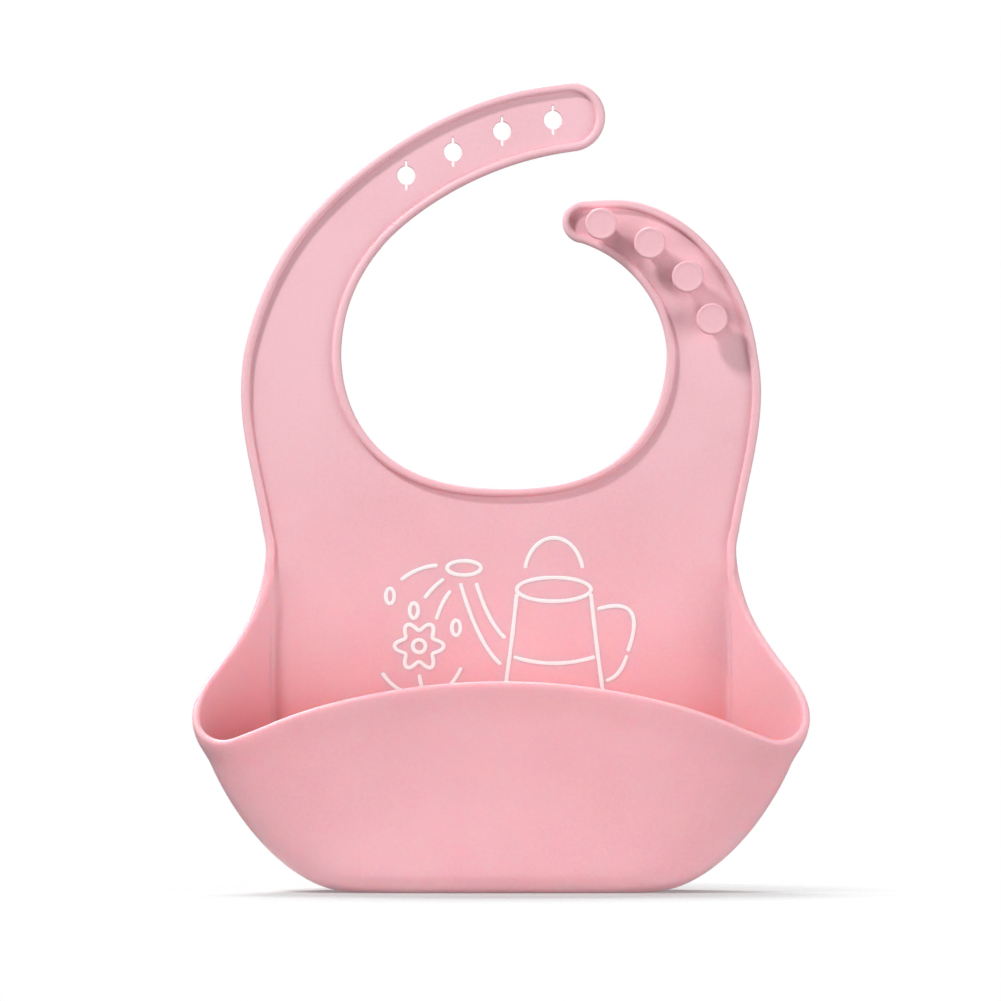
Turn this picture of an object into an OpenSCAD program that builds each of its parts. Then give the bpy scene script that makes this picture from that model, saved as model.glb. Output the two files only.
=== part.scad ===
// Moulded silicone bib with a catch pocket and a stud-and-hole neck strap.
// X runs across the bib, Y from front to back, Z up. The base rests on Z = 0,
// and the origin is under the middle of the whole bib's width and depth.

/* [Sheet] */
// Thickness of the moulded sheet
sheet_t = 2; // [1.6:0.1:2.4]
// Width of the raised rim bead
bead_w = 3.2; // [2.6:0.1:3.8]
// Height of the rim bead above the sheet
bead_h = 2; // [1.2:0.1:2.6]

/* [Body] */
// Height of the neck opening's centre above the base
neck_z = 203; // [198:1:210]
// Half width across the chest
chest_half = 97.6; // [94:0.2:101]
// Half width at the waist, where the pocket's sides begin
waist_half = 88.5; // [84:0.5:90]
// How far the lower edge of the neck opening is flattened
neck_drop = 10.4; // [6:0.2:14]

/* [Pocket] */
// Depth of the pocket at its upper edge
pocket_d = 54; // [50:1:60]
// Height of the front lip at its middle
lip_mid = 79; // [72:1:84]
// Height at which the side lips leave the sheet
lip_side = 121; // [116:1:124]
// Radius of the turn at the bottom of the front wall
turn_r = 11; // [8:0.5:13]
// Half width of the flat base
base_half = 48; // [44:1:52]

/* [Straps] */
// Half width of the long strap
long_half = 13; // [12:0.2:14]
// End angle of the long strap, in degrees round from the left shoulder
long_end = 106; // [104:1:110]
// End angle of the short strap, in degrees round from the right shoulder
short_end = 58.4; // [57:0.2:60]
// Length of each bending zone along the strap
flex_l = 4; // [3.5:0.1:4.5]

/* [Studs and holes] */
// Diameter of a stud's head
head_d = 12; // [11:0.2:12.6]
// Diameter of a stud's stem
stem_d = 7; // [6:0.2:7.6]
// Height of a stud above the sheet
stud_h = 9; // [7:0.5:10]
// Thickness of a stud's head
head_t = 3; // [2.4:0.1:3.4]
// Diameter of a strap hole
hole_d = 6.8; // [6:0.1:7.4]
// Whole length of the slit through a strap hole
slit_l = 11; // [9:0.5:13]
// Width of the slit
slit_w = 0.8; // [0.6:0.1:1.4]

/* [Print] */
// Width of a printed line
line_w = 1.5; // [1:0.1:1.8]
// Thickness of the printed ink
ink_t = 0.2; // [0.15:0.05:0.3]

/* [Hidden] */

// Hinge places along the straps, in degrees from the shoulders
long_hinge = [22, 52, 83];
short_hinge = [15.5, 44.5];
// Places of the holes and the studs along the straps
hole_at = [61.5, 76, 89.8, 102];
stud_at = [9, 22.1, 36.6, 52.8];
// Their places across the straps, out from the middle line
hole_out = [1.6, 0.3, 0.6, 0];
stud_out = [2.9, 1.85, 0.8, 0];
// Gap left between a bending zone and the link after it
gap = 0.3;
// The neck opening sits this much to the right of the body's middle
neck_x = 0.8;
// Depths of the pocket floor's front edge and of the front wall's seam
floor_y = 31;
seam_y = 34;
seam_z0 = 0.2;
gusset_deg = 13;
rows = 14;
// The sheet's front face stands this far behind the middle of the whole depth
mid_y = (pocket_d + 0.75 - sheet_t) / 2;

silicone = [0.93, 0.70, 0.73];
silicone_deep = [0.87, 0.60, 0.64];
ink = [0.98, 0.96, 0.96];

// ---- curves of the body ----
function ss(u) = let (c = max(0, min(1, u))) c * c * (3 - 2 * c);
function mix(a, b, u) = a + (b - a) * u;
function pol(r, a) = [neck_x + r * cos(a), neck_z + r * sin(a)];

// Long strap: distance of its middle from the neck's centre, and half width
function long_r(t) = 74.1 + 5.2 * pow(max(0, 1 - t / 40), 1.5)
    + 0.00181 * pow(max(0, t - 45), 2.25);
function long_h(t) = long_half + 5 * pow(max(0, 1 - t / 45), 1.6);
function long_tilt(t) = ss(t / 20)
    * atan((long_r(t + 0.5) - long_r(t - 0.5)) * 180 / PI / long_r(t));
function long_n(t) = let (a = 180 - t + long_tilt(t)) [cos(a), sin(a)];
function long_c(t) = pol(long_r(t), 180 - t);

// Short strap, in the same terms
function short_r(t) = 78.6 - 0.12 * t - 0.0088 * pow(max(0, t), 1.8);
function short_h(t) = 16.7 - 0.1 * t - 0.000014 * t * t * t;
function short_tilt(t) = ss(t / 15)
    * atan((short_r(t + 0.5) - short_r(t - 0.5)) * 180 / PI / short_r(t));
function short_n(t) = let (a = t - short_tilt(t)) [cos(a), sin(a)];
function short_c(t) = pol(short_r(t), t);

// One strap edge: s = 1 is the outer edge, s = -1 the inner one
function edge(long, t, s) = long ? long_c(t) + s * long_h(t) * long_n(t)
    : short_c(t) + s * short_h(t) * short_n(t);
function normal(long, t) = long ? long_n(t) : short_n(t);
function steps(a, b, n) = [for (i = [0:n]) mix(a, b, i / n)];
// Half of a bending zone, in degrees round the neck
function flex_deg(long, t) = flex_l / 2 * 180 / PI
    / (long ? long_r(t) : short_r(t));
function gap_deg(long, t) = gap * 180 / PI / (long ? long_r(t) : short_r(t));

// Lower half of the neck opening, from 0 at the right round to -180
function neck_r(a) = mix(short_r(0) - short_h(0), long_r(0) - long_h(0), -a / 180)
    - neck_drop * pow(abs(sin(a)), 3.2);
// Half width of the body above the waist
function side_top(s) = s < 0 ? long_r(0) + long_h(0) - neck_x
    : short_r(0) + short_h(0) + neck_x;
function side_x(s, z) = waist_half
    + (chest_half - waist_half) * ss((z - waist_z) / (turn_z - waist_z))
    + (side_top(s) - chest_half) * pow(max(0, (z - turn_z) / (neck_z - turn_z)), 2);
waist_z = lip_side - 3;
turn_z = neck_z - 15;
// Half width of the sheet behind the pocket
low_z = 60;
function sheet_x(z) = base_half + (waist_half - base_half)
    * sqrt(1 - pow(max(0, 1 - z / low_z), 2));
function body_x(s, z) = z < waist_z ? sheet_x(z) : side_x(s, z);

// ---- pocket wall, one smooth bowl ----
// e runs from 0 at the sheet to 1 at the middle of the front
function flare(z) = 17 + 0.5 * min(z, 68);
function depth(z) = pocket_d - 10 + 10 * z / lip_mid
    - (z < turn_r ? turn_r - sqrt(turn_r * turn_r - pow(turn_r - z, 2)) : 0);
function lip_x(e) = (waist_half + 46 * e) * pow(max(0, 1 - pow(e, 4)), 0.25);
function lip_z(e) = let (w = ss((e - 0.62) / 0.33))
    mix(lip_side - 68 * pow(max(e, 0), 0.55), lip_mid - 0.0022 * pow(lip_x(e), 2), w);
// Angle form of the bowl: 0 at the sheet on the right, 90 at the middle
function ang(e) = asin(min(1, e * e));
function eta(a) = sqrt(max(0, sin(a)));
function xi(a) = (cos(a) < 0 ? -1 : 1) * sqrt(abs(cos(a)));
function wall(a, z) = [(sheet_x(z) + flare(z) * eta(a)) * xi(a), -depth(z) * eta(a), z];
function unit(v) = v / norm(v);
function across(a, z) = wall(min(180, a + 1.5), z) - wall(max(0, a - 1.5), z);
function upward(a, z) = wall(a, z + 0.04 + z * 0.01) - wall(a, max(0, z - z * 0.01));
function out(a, z) = z <= 0 ? [0, 0, -1] : unit(cross(upward(a, z), across(a, z)));
// Inner face of the wall; where it meets the sheet it is cut flush with it
function inner(a, z) = let (q = wall(a, z) - sheet_t * out(a, z), t = across(a, z))
    z <= 0 ? wall(a, 0) + [0, 0, sheet_t]
    : (a <= 0 || a >= 180) ? q - t * (q[1] / t[1]) : q;

// Rear and front edges of the bending gusset, as fractions of the depth
function rear_e(z) = min(1, (floor_y - z * tan(gusset_deg)) / depth(z));
function front_e(z) = min(1, seam_y / depth(z));
// Point at column f of the side wall and row v, found by a few repeats
function side_z(f, v, z, k) = k == 0 ? z
    : side_z(f, v, v * v * lip_z(pow(f, 1.6) * rear_e(z)), k - 1);
function side_at(f, v) = let (z = side_z(f, v, 50 * v, 9)) [ang(pow(f, 1.6) * rear_e(z)), z];
function front_z(f, v, z, k) = k == 0 ? z
    : front_z(f, v, seam_z0 + v * v * (lip_z(eta(front_a(f, z))) - seam_z0), k - 1);
function front_a(f, z) = let (a = ang(front_e(z))) 90 - (90 - a) * pow(1 - f, 2);
function front_at(f, v) = let (z = front_z(f, v, 50 * v, 9)) [front_a(f, z), z];
// Mirror an angle and height to the left side
function flip(q, left) = left ? [180 - q[0], q[1]] : q;

// ---- closed skins ----
// Past place h of each ring, the quads are split along the other diagonal
function skin(n, m, h) = [for (i = [0:n - 2], j = [0:m - 1], k = [0:1])
    let (a = i * m + j, b = i * m + (j + 1) % m, c = (i + 1) * m + (j + 1) % m,
        d = (i + 1) * m + j)
    j < h ? (k == 0 ? [a, b, c] : [a, c, d]) : (k == 0 ? [a, b, d] : [b, c, d])];
// Rings that each hold a row of outer points and the same row of inner points
function ladder(m, o, up) = [for (i = [0:m / 2 - 2], k = [0:1])
    let (a = o + i, b = o + i + 1, c = o + m - 2 - i, d = o + m - 1 - i)
    up ? (k == 0 ? [a, b, c] : [a, c, d]) : (k == 0 ? [a, c, b] : [a, d, c])];
function fan(m, o, up) = [for (i = [1:m - 2]) up ? [o, o + i, o + i + 1]
    : [o, o + i + 1, o + i]];

module rings(r, flat) {
    n = len(r);
    m = len(r[0]);
    ends = flat ? concat(ladder(m, 0, false), ladder(m, (n - 1) * m, true))
        : concat(fan(m, 0, false), fan(m, (n - 1) * m, true));
    translate([0, mid_y, 0])
        polyhedron(points = [for (q = r) each q],
            faces = concat(skin(n, m, flat ? m / 2 : m), ends));
}

// Sheet of the wall through columns of [angle, height] pairs
module wall_sheet(cols) {
    rings([for (c = cols) concat([for (q = c) wall(q[0], q[1])],
        [for (i = [len(c) - 1:-1:0]) inner(c[i][0], c[i][1])])], true);
}

// Rounded lip along a row of [angle, height] pairs on the wall's upper edge;
// the rows before i0 and after i1 only steer its ends
module lip(path, i0, i1) {
    n = len(path);
    o = [for (q = path) wall(q[0], q[1])];
    b = [for (q = path) inner(q[0], q[1])];
    bulb = sheet_t * 0.8;
    lift = sqrt(bulb * bulb - sheet_t * sheet_t / 4);
    rings([for (i = [i0:i1])
        let (t = o[min(n - 1, i + 1)] - o[max(0, i - 1)],
            w = unit(o[i] - b[i]),
            u0 = unit(cross(w, t)),
            u = u0[2] < 0 ? -u0 : u0,
            c = (o[i] + b[i]) / 2 + lift * u)
        concat([b[i]],
            [for (a = [205:-25.7:-26]) c + bulb * (cos(a) * w + sin(a) * u)],
            [o[i]])], false);
}

// Strap or body sheet from an outline in X and Z
module sheet(pts) {
    translate([0, mid_y + sheet_t, 0])
        rotate([90, 0, 0])
            linear_extrude(sheet_t)
                polygon(pts);
}

// Half-round bead on the front face; q is a list of [point, inward direction]
module bead(q) {
    prof = [[0, 0], [0, 0.5], [0.14, 0.84], [0.36, 1], [0.64, 1], [0.86, 0.84], [1, 0.5], [1, 0]];
    rings([for (e = q) [for (s = prof)
        [e[0][0] + e[1][0] * s[0] * bead_w, -s[1] * bead_h, e[0][1] + e[1][1] * s[0] * bead_w]]],
        false);
}
// Edge directions of an open path, turned to its left; ends can be given
function turned(p, n0, n1) = [for (i = [0:len(p) - 1])
    i == 0 && n0 != undef ? n0 : i == len(p) - 1 && n1 != undef ? n1
    : let (t = unit(p[min(len(p) - 1, i + 1)] - p[max(0, i - 1)])) [-t[1], t[0]]];
function pairs(p, n) = [for (i = [0:len(p) - 1]) [p[i], n[i]]];

// Outer and inner strap edges between two stations
function strip(long, a, b, n) = concat([for (t = steps(a, b, n)) edge(long, t, 1)],
    [for (t = steps(b, a, n)) edge(long, t, -1)]);
function edge_bead(long, a, b, n, s) = let (fwd = long ? s < 0 : s > 0)
    [for (t = fwd ? steps(a, b, n) : steps(b, a, n)) [edge(long, t, s), -s * normal(long, t)]];
// Rounded end of a strap, from its outer edge round to its inner edge
function tip_dirs(long, t) = let (a0 = long ? 180 - t + long_tilt(t) : t - short_tilt(t),
        k = long ? -1 : 1)
    [for (i = [0:12]) [cos(a0 + k * i * 15), sin(a0 + k * i * 15)]];
function tip_h(long, t) = long ? long_h(t) : short_h(t);
function tip_c(long, t) = long ? long_c(t) : short_c(t);

// ---- modules of the body ----
function neck_path() = [for (a = steps(0, -180, 44)) pol(neck_r(a), a)];
function side_path(s, z0, z1, n) = [for (z = steps(z0, z1, n)) [s * body_x(s, z), z]];
function low_path(s) = [for (i = [0:14]) let (z = waist_z * pow(i / 14, 2)) [s * sheet_x(z), z]];
function drop_last(p) = [for (i = [0:len(p) - 2]) p[i]];
function drop_first(p) = [for (i = [1:len(p) - 1]) p[i]];

module chest_panel() {
    tl = long_hinge[0] - flex_deg(true, long_hinge[0]);
    tr = short_hinge[0] - flex_deg(false, short_hinge[0]);
    left_out = [for (t = steps(tl, 0, 8)) edge(true, t, 1)];
    left_side = drop_first(side_path(-1, neck_z, waist_z, 20));
    left_low = [for (i = [13:-1:0]) low_path(-1)[i]];
    right_low = drop_last(low_path(1));
    right_side = side_path(1, waist_z, neck_z, 20);
    right_out = drop_first([for (t = steps(0, tr, 6)) edge(false, t, 1)]);
    right_in = [for (t = steps(tr, 0, 6)) edge(false, t, -1)];
    left_in = drop_first([for (t = steps(0, tl, 8)) edge(true, t, -1)]);
    color(silicone)
        sheet(concat(left_out, left_side, left_low, right_low, right_side, right_out,
            right_in, drop_first(neck_path()), left_in));
}

module neck_bead() {
    tl = long_hinge[0] - flex_deg(true, long_hinge[0]);
    tr = short_hinge[0] - flex_deg(false, short_hinge[0]);
    p = concat([for (t = steps(tr, 0, 5)) edge(false, t, -1)], drop_first(neck_path()),
        drop_first([for (t = steps(0, tl, 7)) edge(true, t, -1)]));
    color(silicone_deep)
        bead(pairs(p, turned(p, normal(false, tr), normal(true, tl))));
}

module side_bead(s) {
    tl = long_hinge[0] - flex_deg(true, long_hinge[0]);
    tr = short_hinge[0] - flex_deg(false, short_hinge[0]);
    top = s < 0 ? [for (t = steps(tl, 0, 7)) edge(true, t, 1)]
        : [for (t = steps(tr, 0, 5)) edge(false, t, 1)];
    p = concat(top, drop_first(side_path(s, neck_z, lip_side + 0.5, 18)));
    color(silicone_deep)
        bead(s < 0 ? pairs(p, turned(p, -normal(true, tl)))
            : pairs(back(p), turned(back(p), undef, -normal(false, tr))));
}

module side_bead_left() {
    side_bead(-1);
}

module side_bead_right() {
    side_bead(1);
}

// ---- modules of the pocket ----
module pocket_floor() {
    right = [for (i = [0:12]) let (q = side_at(i / 12, 0)) wall(q[0], 0)];
    color(silicone_deep)
        translate([0, mid_y, 0])
            linear_extrude(sheet_t)
                polygon(concat([for (q = right) [q[0], q[1]]],
                    [for (i = [12:-1:0]) [-right[i][0], right[i][1]]]));
}

module pocket_side(left) {
    color(silicone)
        wall_sheet([for (i = [0:12]) [for (j = [0:rows])
            flip(side_at(left ? i / 12 : 1 - i / 12, j / rows), left)]]);
}

module pocket_side_left() {
    pocket_side(true);
}

module pocket_side_right() {
    pocket_side(false);
}

module side_lip(left) {
    p = concat([for (i = [2:12]) flip(side_at(i / 12, 1), left)],
        [flip(gusset_at(0.985 / 4, 1), left)]);
    color(silicone_deep)
        lip(left ? p : back(p), left ? 0 : 1, left ? 10 : 11);
}

module pocket_side_lip_left() {
    side_lip(true);
}

module pocket_side_lip_right() {
    side_lip(false);
}

// Bending gusset between the side wall and the front wall
function gusset_at(f, v) = let (a = side_at(1, v), b = front_at(0, v),
        e = mix(eta(a[0]), eta(b[0]), f))
    f <= 0 ? a : [ang(e), v >= 1 ? lip_z(e) : mix(a[1], b[1], f)];

module gusset(left) {
    k = 0.985;
    color(silicone)
        wall_sheet([for (i = [0:4]) [for (j = [0:rows])
            flip(gusset_at(k * (left ? i / 4 : 1 - i / 4), j / rows), left)]]);
}

module pocket_gusset_left() {
    gusset(true);
}

module pocket_gusset_right() {
    gusset(false);
}

module gusset_lip(left) {
    p = concat([flip(side_at(11 / 12, 1), left)],
        [for (i = [0:4]) flip(gusset_at(0.985 * i / 4, 1), left)]);
    color(silicone_deep)
        lip(left ? p : back(p), left ? 1 : 0, left ? 5 : 4);
}

module pocket_gusset_lip_left() {
    gusset_lip(true);
}

module pocket_gusset_lip_right() {
    gusset_lip(false);
}

// Bending strip across the front of the base
module pocket_base_flex() {
    x0 = wall(side_at(1, 0)[0], 0)[0];
    f0 = wall(front_at(0, 0)[0], seam_z0)[0];
    color(silicone)
        rings([for (i = [-10:10])
            let (q = flip(front_at(1 - abs(i) / 10, 0), i < 0), p = wall(q[0], q[1]),
                f = p + [0, gap, 0], g = inner(q[0], q[1]) + [0, gap, 0],
                r = [p[0] * x0 / f0, -floor_y, 0])
            [r, f, g, r + [0, 0, sheet_t]]], false);
}

module pocket_front_wall() {
    color(silicone)
        wall_sheet([for (i = [-16:16]) [for (j = [0:rows])
            flip(front_at(1 - abs(i) / 16, j / rows), i < 0)]]);
}

module pocket_front_lip() {
    color(silicone_deep)
        lip([for (i = [-16:16]) flip(front_at(1 - abs(i) / 16, 1), i < 0)], 0, 32);
}

// ---- modules of the straps ----
module flex(long, t) {
    d = flex_deg(long, t);
    g = gap_deg(long, t);
    color(silicone_deep) {
        sheet(strip(long, t - d, t + d - g, 3));
        bead(edge_bead(long, t - d, t + d - g, 3, 1));
        bead(edge_bead(long, t - d, t + d - g, 3, -1));
    }
}

module long_flex_root() {
    flex(true, long_hinge[0]);
}

module long_flex_mid() {
    flex(true, long_hinge[1]);
}

module long_flex_tip() {
    flex(true, long_hinge[2]);
}

module short_flex_root() {
    flex(false, short_hinge[0]);
}

module short_flex_tip() {
    flex(false, short_hinge[1]);
}

// A strap hole with a slit through it
module slotted(k) {
    c = long_c(hole_at[k]) + hole_out[k] * long_n(hole_at[k]);
    translate([c[0], mid_y + sheet_t + 1, c[1]])
        rotate([90, 0, 0])
            cylinder(d = hole_d, h = sheet_t + 2, $fn = 48);
    translate([c[0] - slit_w / 2, mid_y - 1, c[1] - slit_l / 2])
        cube([slit_w, sheet_t + 2, slit_l]);
}

module long_link_1() {
    a = long_hinge[0] + flex_deg(true, long_hinge[0]);
    b = long_hinge[1] - flex_deg(true, long_hinge[1]);
    color(silicone)
        sheet(strip(true, a, b, 9));
}

module long_link_1_beads() {
    a = long_hinge[0] + flex_deg(true, long_hinge[0]);
    b = long_hinge[1] - flex_deg(true, long_hinge[1]);
    color(silicone_deep) {
        bead(edge_bead(true, a, b, 9, 1));
        bead(edge_bead(true, a, b, 9, -1));
    }
}

module long_link_2() {
    a = long_hinge[1] + flex_deg(true, long_hinge[1]);
    b = long_hinge[2] - flex_deg(true, long_hinge[2]);
    color(silicone)
        difference() {
            sheet(strip(true, a, b, 10));
            slotted(0);
            slotted(1);
        }
}

module long_link_2_beads() {
    a = long_hinge[1] + flex_deg(true, long_hinge[1]);
    b = long_hinge[2] - flex_deg(true, long_hinge[2]);
    color(silicone_deep) {
        bead(edge_bead(true, a, b, 10, 1));
        bead(edge_bead(true, a, b, 10, -1));
    }
}

module long_link_3() {
    a = long_hinge[2] + flex_deg(true, long_hinge[2]);
    tip = [for (d = tip_dirs(true, long_end)) tip_c(true, long_end) + tip_h(true, long_end) * d];
    color(silicone)
        difference() {
            sheet(concat([for (t = steps(a, long_end, 7)) edge(true, t, 1)], drop_first(tip),
                drop_first([for (t = steps(long_end, a, 7)) edge(true, t, -1)])));
            slotted(2);
            slotted(3);
        }
}

// Bead that runs out along a strap, round its end and back
module end_bead(long, a, b) {
    c = tip_c(long, b);
    h = tip_h(long, b);
    tip = drop_last(drop_first([for (d = tip_dirs(long, b)) [c + h * d, -d]]));
    color(silicone_deep)
        bead(long ? concat(edge_bead(long, a, b, 7, -1), back(tip), edge_bead(long, a, b, 7, 1))
            : concat(edge_bead(long, a, b, 7, 1), tip, edge_bead(long, a, b, 7, -1)));
}

module long_link_3_bead() {
    end_bead(true, long_hinge[2] + flex_deg(true, long_hinge[2]), long_end);
}

module short_link_1() {
    a = short_hinge[0] + flex_deg(false, short_hinge[0]);
    b = short_hinge[1] - flex_deg(false, short_hinge[1]);
    color(silicone)
        sheet(strip(false, a, b, 9));
}

module short_link_1_beads() {
    a = short_hinge[0] + flex_deg(false, short_hinge[0]);
    b = short_hinge[1] - flex_deg(false, short_hinge[1]);
    color(silicone_deep) {
        bead(edge_bead(false, a, b, 9, 1));
        bead(edge_bead(false, a, b, 9, -1));
    }
}

module short_link_2() {
    a = short_hinge[1] + flex_deg(false, short_hinge[1]);
    tip = [for (d = tip_dirs(false, short_end))
        tip_c(false, short_end) + tip_h(false, short_end) * d];
    color(silicone)
        sheet(concat([for (t = steps(a, short_end, 7)) edge(false, t, 1)], drop_first(tip),
            drop_first([for (t = steps(short_end, a, 7)) edge(false, t, -1)])));
}

module short_link_2_bead() {
    end_bead(false, short_hinge[1] + flex_deg(false, short_hinge[1]), short_end);
}

// Fastening stud: a stem with a wide flat head and softened edges
module stud(k) {
    c = short_c(stud_at[k]) + stud_out[k] * short_n(stud_at[k]);
    r = stem_d / 2;
    R = head_d / 2;
    color(silicone_deep)
        translate([c[0], mid_y, c[1]])
            rotate([90, 0, 0])
                rotate_extrude($fn = 48)
                    polygon([[0, 0], [r + 0.6, 0], [r, 0.9], [r, stud_h - head_t],
                        [R - 0.4, stud_h - head_t + 0.3], [R, stud_h - head_t + 1],
                        [R, stud_h - 0.8], [R - 0.3, stud_h - 0.2], [R - 0.9, stud_h],
                        [0, stud_h]]);
}

module stud_1() {
    stud(3);
}

module stud_2() {
    stud(2);
}

module stud_3() {
    stud(1);
}

module stud_4() {
    stud(0);
}

// ---- modules of the print ----
// Line of even width along an open path
function side_of(p, s) = let (n = turned(p)) [for (i = [0:len(p) - 1])
    p[i] + s * line_w / 2 * n[i]];
function back(p) = [for (i = [len(p) - 1:-1:0]) p[i]];
module inked() {
    color(ink)
        translate([0, mid_y, 0])
            rotate([90, 0, 0])
                linear_extrude(ink_t)
                    children();
}
module stroke(p) {
    polygon(concat(side_of(p, 1), back(side_of(p, -1))));
}
// Closed loop of even width round a centre, from a list of radii
module loop(c, r, sx, sz, n) {
    difference() {
        polygon([for (i = [0:n - 1]) c + [(r[i] * sx + line_w / 2) * cos(i * 360 / n),
            (r[i] * sz + line_w / 2) * sin(i * 360 / n)]]);
        polygon([for (i = [0:n - 1]) c + [(r[i] * sx - line_w / 2) * cos(i * 360 / n),
            (r[i] * sz - line_w / 2) * sin(i * 360 / n)]]);
    }
}
function arc(c, rx, rz, a0, a1, n) = [for (a = steps(a0, a1, n)) c + [rx * cos(a), rz * sin(a)]];
function bez(p, q, r, n) = [for (u = steps(0, 1, n))
    (1 - u) * (1 - u) * p + 2 * u * (1 - u) * q + u * u * r];

module print_can() {
    inked() {
        stroke(concat(bez([6, 112], [4, 92], [1, 72], 6)));
        stroke(concat(bez([34, 112], [36, 92], [39, 72], 6)));
        loop([20, 113.5], [for (i = [0:35]) 14], 1, 0.32, 36);
        stroke(bez([4.6, 88], [20, 83], [35.6, 88], 8));
    }
}

module print_can_handle() {
    inked() {
        stroke(bez([36.4, 106], [56, 112], [48, 90], 12));
        stroke(bez([47.7, 88.6], [45, 80], [39.6, 79], 8));
        stroke(arc([20, 119], 11, 14, 10, 170, 16));
    }
}

module print_can_spout() {
    inked() {
        stroke(bez([0, 85], [-9, 93], [-15.4, 116], 10));
        stroke(bez([1.6, 95], [-5, 101], [-9.4, 116], 10));
        loop([-14, 121.6], [for (i = [0:23]) 6.4], 1, 0.42, 24);
    }
}

module print_water() {
    inked() {
        stroke([[-21.5, 117.5], [-26, 113.5], [-29, 110]]);
        stroke([[-19, 113], [-22.5, 107], [-24.5, 102]]);
        stroke([[-24, 122.5], [-31, 121.5], [-38, 117]]);
        loop([-33, 105.5], [for (i = [0:19]) 2.3], 0.7, 1.25, 20);
        loop([-42, 111], [for (i = [0:19]) 2.3], 0.7, 1.25, 20);
        loop([-17, 99], [for (i = [0:19]) 2.3], 0.7, 1.25, 20);
    }
}

module print_flower() {
    inked() {
        loop([-31, 92], [for (i = [0:59]) 7.6 + 1.7 * cos(i * 36)], 1, 1, 60);
        loop([-31, 92], [for (i = [0:19]) 2.4], 1, 1, 20);
    }
}

module print_flower_stem() {
    inked() {
        stroke(bez([-31, 81.4], [-30, 75], [-27, 68], 6));
        stroke(concat(bez([-28.4, 73], [-20, 73], [-15, 84], 8)));
        stroke(concat(bez([-31.6, 74], [-40, 74], [-45, 82], 8)));
    }
}

chest_panel();
neck_bead();
side_bead_left();
side_bead_right();
pocket_floor();
pocket_side_left();
pocket_side_right();
pocket_side_lip_left();
pocket_side_lip_right();
pocket_gusset_left();
pocket_gusset_right();
pocket_gusset_lip_left();
pocket_gusset_lip_right();
pocket_base_flex();
pocket_front_wall();
pocket_front_lip();
long_flex_root();
long_link_1();
long_link_1_beads();
long_flex_mid();
long_link_2();
long_link_2_beads();
long_flex_tip();
long_link_3();
long_link_3_bead();
short_flex_root();
short_link_1();
short_link_1_beads();
short_flex_tip();
short_link_2();
short_link_2_bead();
stud_1();
stud_2();
stud_3();
stud_4();
print_can();
print_can_handle();
print_can_spout();
print_water();
print_flower();
print_flower_stem();
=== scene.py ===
"""Silicone bib with a catch pocket and a stud-and-hole neck strap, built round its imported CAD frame."""

import math

import bmesh
import bpy
import numpy as np
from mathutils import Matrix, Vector
from mathutils.geometry import delaunay_2d_cdt


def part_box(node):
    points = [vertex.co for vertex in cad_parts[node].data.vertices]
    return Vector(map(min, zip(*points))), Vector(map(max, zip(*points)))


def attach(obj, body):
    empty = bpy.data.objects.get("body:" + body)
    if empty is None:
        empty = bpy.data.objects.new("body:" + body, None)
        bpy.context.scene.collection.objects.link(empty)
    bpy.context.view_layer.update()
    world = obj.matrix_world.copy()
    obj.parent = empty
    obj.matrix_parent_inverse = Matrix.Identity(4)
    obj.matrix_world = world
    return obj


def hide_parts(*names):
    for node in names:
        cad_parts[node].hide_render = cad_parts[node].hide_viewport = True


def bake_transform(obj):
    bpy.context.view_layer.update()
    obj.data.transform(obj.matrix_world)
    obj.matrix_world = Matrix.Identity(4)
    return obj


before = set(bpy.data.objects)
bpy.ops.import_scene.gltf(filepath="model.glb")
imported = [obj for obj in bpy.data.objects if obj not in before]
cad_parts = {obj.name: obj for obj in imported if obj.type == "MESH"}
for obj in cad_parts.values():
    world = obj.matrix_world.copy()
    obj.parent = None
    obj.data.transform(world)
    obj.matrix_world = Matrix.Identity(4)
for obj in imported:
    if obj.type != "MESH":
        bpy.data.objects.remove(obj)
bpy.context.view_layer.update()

# Shapes are worked out in millimetres with Y = 0 on the front face of the sheet.
MM = 0.001
FACE_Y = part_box("chest_panel")[0].y / MM
HALF_T = (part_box("chest_panel")[1].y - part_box("chest_panel")[0].y) / MM / 2

# ---------------------------------------------------------------- camera

# The camera stands far off, so that the view is almost without perspective.
IMAGE_SIDE, MM_PER_PIXEL = 1001, 0.376
CAMERA_FAR = 4000.0
SENSOR = 36
camera = bpy.data.objects.new("camera", bpy.data.cameras.new("camera"))
bpy.context.scene.collection.objects.link(camera)
bpy.context.scene.camera = camera
camera.data.sensor_width = SENSOR
camera.data.lens = SENSOR * CAMERA_FAR / (IMAGE_SIDE * MM_PER_PIXEL)
camera.data.clip_end = 50
camera.location = Vector((-0.2, -CAMERA_FAR, 147.2)) * MM
camera.rotation_euler = (math.radians(90), 0, 0)

# ---------------------------------------------------------------- curves of the bib

NECK = np.array([0.8, 203.0])                           # centre of the neck opening, X and Z
LIP_SIDE, LIP_MID = 121.0, 79.0                         # height of the lip at the sheet and in front
WAIST_Z, TURN_Z, LOW_Z = 118.0, 188.0, 60.0             # heights where the sheet's outline changes
CHEST_HALF, WAIST_HALF, BASE_HALF = 98.4, 88.5, 48.0    # half widths of the sheet
BEAD_W, BEAD_H = 3.2, 2.0


def ease(u):
    """Smooth step from 0 to 1."""
    c = np.clip(u, 0, 1)
    return c * c * (3 - 2 * c)


def mix(a, b, u):
    return a + (b - a) * u


def unit(v):
    """Vectors of length 1 in the same directions."""
    return v / np.maximum(np.linalg.norm(v, axis=-1, keepdims=True), 1e-12)


def long_r(t):
    """Distance of the long arm's middle line from the neck's centre, t degrees from the shoulder."""
    return 74.1 + 5.2 * np.maximum(0, 1 - t / 40) ** 1.5 + 0.00181 * np.maximum(0, t - 45) ** 2.25


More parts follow.
